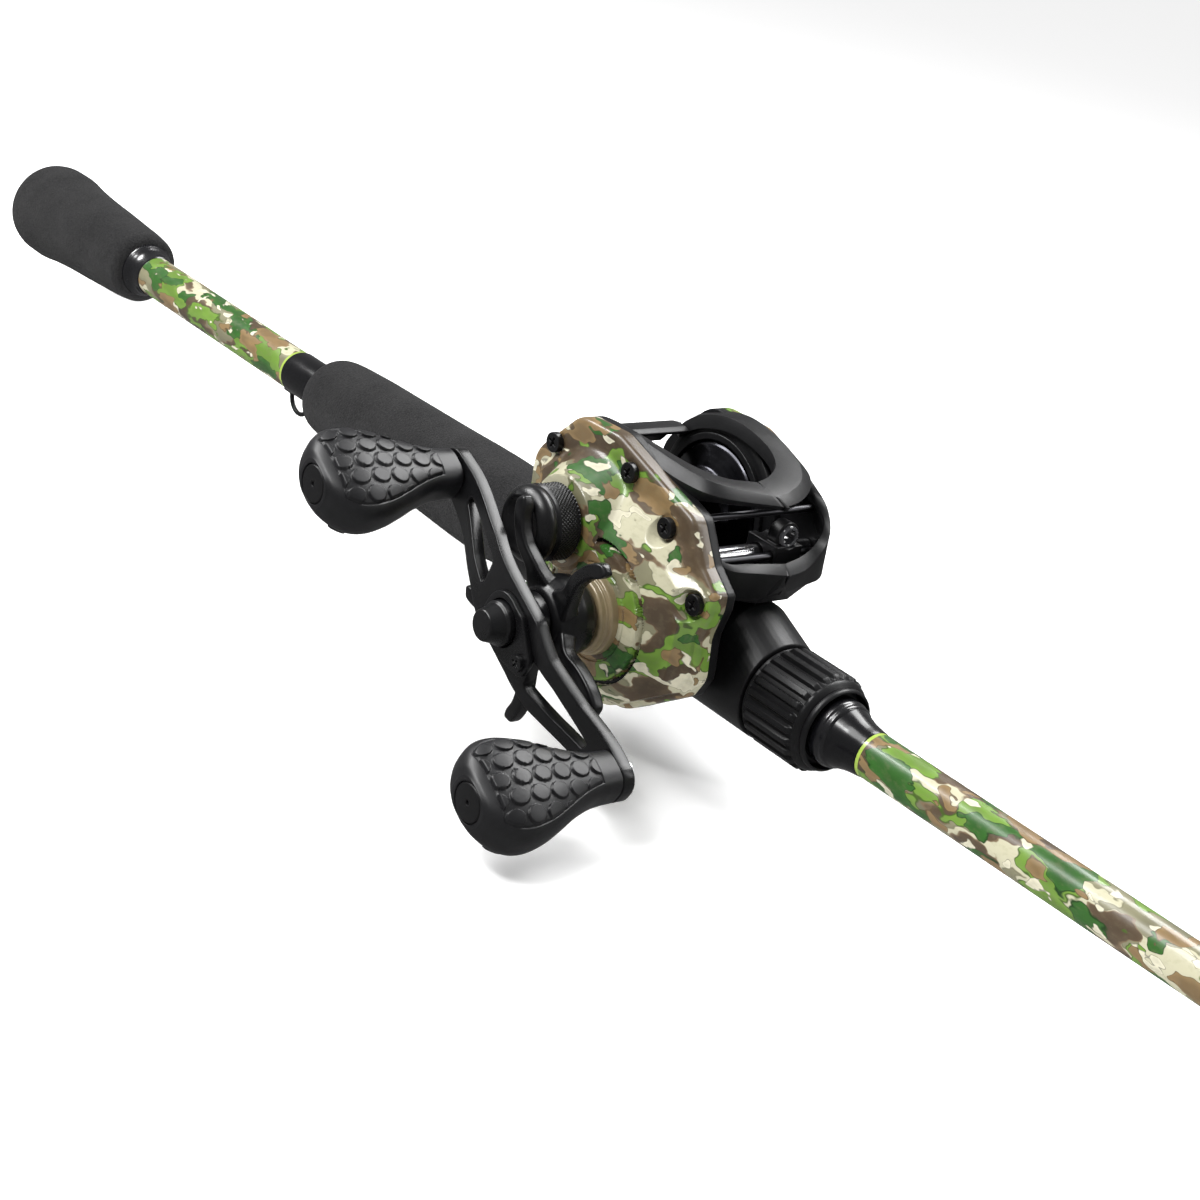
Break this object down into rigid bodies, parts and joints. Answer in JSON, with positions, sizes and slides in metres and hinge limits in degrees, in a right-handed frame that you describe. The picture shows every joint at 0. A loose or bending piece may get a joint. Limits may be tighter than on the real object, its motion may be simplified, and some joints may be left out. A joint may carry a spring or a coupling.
{
  "type": "baitcasting rod and reel",
  "caption": "One-piece baitcasting rod with foam grips and trigger seat, carrying a low-profile reel with a star drag, level wind and double paddle handle.",
  "frame": {"origin": "centre of the butt end of the rear grip, on the rod's axis", "axes": "+X along the rod to its tip, +Z to the reel's side, -Y to the crank handle's side"},
  "size_m": [2.134, 0.1182, 0.0781],
  "materials": {
    "camo_blank": "clear-coated camouflage paint on graphite",
    "camo_plate": "clear-coated camouflage print on moulded covers",
    "eva_foam": "matte closed-cell foam",
    "soft_rubber": "matte moulded rubber",
    "black_plastic": "satin moulded",
    "gloss_black": "gloss winding coat",
    "black_metal": "satin black anodised",
    "dark_aluminium": "dark anodised, turned",
    "stainless": "turned steel",
    "brass_gear": "cut brass",
    "ivory_nylon": "moulded nylon",
    "bronze_ring": "satin bronze anodised",
    "ceramic": "polished dark ceramic"
  },
  "bodies": {
    "rod": {"rod_blank": "camo_blank", "butt_cap": "soft_rubber", "rear_grip": "eva_foam", "rear_check": "black_plastic", "hook_keeper": "black_metal", "keeper_wrap": "gloss_black", "fore_grip": "eva_foam", "reel_seat": "black_plastic", "front_check": "gloss_black", "front_trim": "gloss_black", "guide_1": "black_metal", "guide_2": "black_metal", "guide_3": "black_metal", "guide_4": "black_metal", "guide_5": "black_metal", "guide_6": "black_metal", "guide_7": "black_metal", "guide_8": "black_metal", "tip_top": "black_metal", "guide_rings": "ceramic", "guide_wraps": "gloss_black", "reel_frame": "black_plastic", "front_hood": "black_plastic", "gear_side_plate": "camo_plate", "palm_side_plate": "camo_plate", "side_plate_screws": "black_metal", "spool_bearings": "stainless", "shaft_bearing": "stainless", "one_way_clutch": "stainless", "crank_collar": "bronze_ring", "frame_pins": "stainless", "guide_bars": "stainless"},
    "seat_hood": {"seat_hood": "black_plastic"},
    "seat_nut": {"seat_nut": "black_plastic"},
    "crank": {"drive_shaft": "stainless", "main_gear": "brass_gear", "level_wind_gear": "ivory_nylon", "drag_washers": "stainless", "arm_spacer": "black_metal", "handle_arm": "black_metal", "handle_nut": "black_metal", "nut_retainer": "black_metal", "retainer_screw": "black_metal", "knob_posts": "stainless"},
    "star": {"star_drag": "black_metal"},
    "knob_a": {"knob_a": "soft_rubber", "knob_cap_a": "black_plastic"},
    "knob_b": {"knob_b": "soft_rubber", "knob_cap_b": "black_plastic"},
    "spool": {"spool": "dark_aluminium", "spool_shaft": "stainless"},
    "yoke": {"clutch_yoke": "stainless"},
    "pinion": {"pinion_gear": "brass_gear"},
    "idler": {"idler_gear": "ivory_nylon"},
    "worm": {"worm_shaft": "stainless"},
    "line_guide": {"line_guide": "black_plastic", "guide_eyelet": "ceramic"},
    "thumb": {"thumb_bar": "black_plastic"},
    "brake": {"brake_dial": "black_plastic", "brake_magnets": "stainless"},
    "tension": {"tension_knob": "black_metal"}
  },
  "joints": [
    {"name": "crank_spin", "type": "hinge", "parent": "rod", "child": "crank", "pos_m": [0.362, 0, 0.009], "axis": [0, 1, 0], "continuous": true},
    {"name": "spool_spin", "type": "hinge", "parent": "rod", "child": "spool", "pos_m": [0.346, 0, 0.0253], "axis": [0, 1, 0], "continuous": true},
    {"name": "thumb_press", "type": "slide", "parent": "rod", "child": "thumb", "axis": [0, 0, -1], "range_m": [0, 0.0035]},
    {"name": "yoke_slide", "type": "slide", "parent": "rod", "child": "yoke", "axis": [0, -1, 0], "range_m": [0, 0.0016]},
    {"name": "pinion_spin", "type": "hinge", "parent": "yoke", "child": "pinion", "pos_m": [0.346, 0, 0.0253], "axis": [0, 1, 0], "continuous": true},
    {"name": "idler_spin", "type": "hinge", "parent": "rod", "child": "idler", "pos_m": [0.37164, 0, 0.02049], "axis": [0, 1, 0], "continuous": true},
    {"name": "worm_spin", "type": "hinge", "parent": "rod", "child": "worm", "pos_m": [0.37743, 0, 0.02738], "axis": [0, 1, 0], "continuous": true},
    {"name": "line_guide_slide", "type": "slide", "parent": "rod", "child": "line_guide", "axis": [0, 1, 0], "range_m": [-0.016, 0.006]},
    {"name": "star_turn", "type": "hinge", "parent": "crank", "child": "star", "pos_m": [0.362, 0, 0.009], "axis": [0, 1, 0], "range_deg": [-180, 180]},
    {"name": "knob_a_spin", "type": "hinge", "parent": "crank", "child": "knob_a", "pos_m": [0.32469, 0, 0.02998], "axis": [0, 1, 0], "continuous": true},
    {"name": "knob_b_spin", "type": "hinge", "parent": "crank", "child": "knob_b", "pos_m": [0.39931, 0, -0.01198], "axis": [0, 1, 0], "continuous": true},
    {"name": "tension_turn", "type": "hinge", "parent": "rod", "child": "tension", "pos_m": [0.346, 0, 0.0253], "axis": [0, 1, 0], "range_deg": [-180, 180]},
    {"name": "brake_turn", "type": "hinge", "parent": "rod", "child": "brake", "pos_m": [0.346, 0, 0.0253], "axis": [0, 1, 0], "range_deg": [0, 270]},
    {"name": "seat_hood_slide", "type": "slide", "parent": "rod", "child": "seat_hood", "axis": [1, 0, 0], "range_m": [0, 0.01]},
    {"name": "seat_nut_turn", "type": "hinge", "parent": "seat_hood", "child": "seat_nut", "pos_m": [0.404, 0, 0], "axis": [1, 0, 0], "range_deg": [0, 2000]}
  ],
  "couplings": [
    {"joint": "spool_spin", "follows": "crank_spin", "ratio": -7.5},
    {"joint": "pinion_spin", "follows": "crank_spin", "ratio": -7.5},
    {"joint": "idler_spin", "follows": "crank_spin", "ratio": -2.125},
    {"joint": "worm_spin", "follows": "crank_spin", "ratio": 2.4286},
    {"joint": "yoke_slide", "follows": "thumb_press", "ratio": 0.45714},
    {"joint": "seat_nut_turn", "follows": "seat_hood_slide", "rad_per_m": 3141.6}
  ]
}
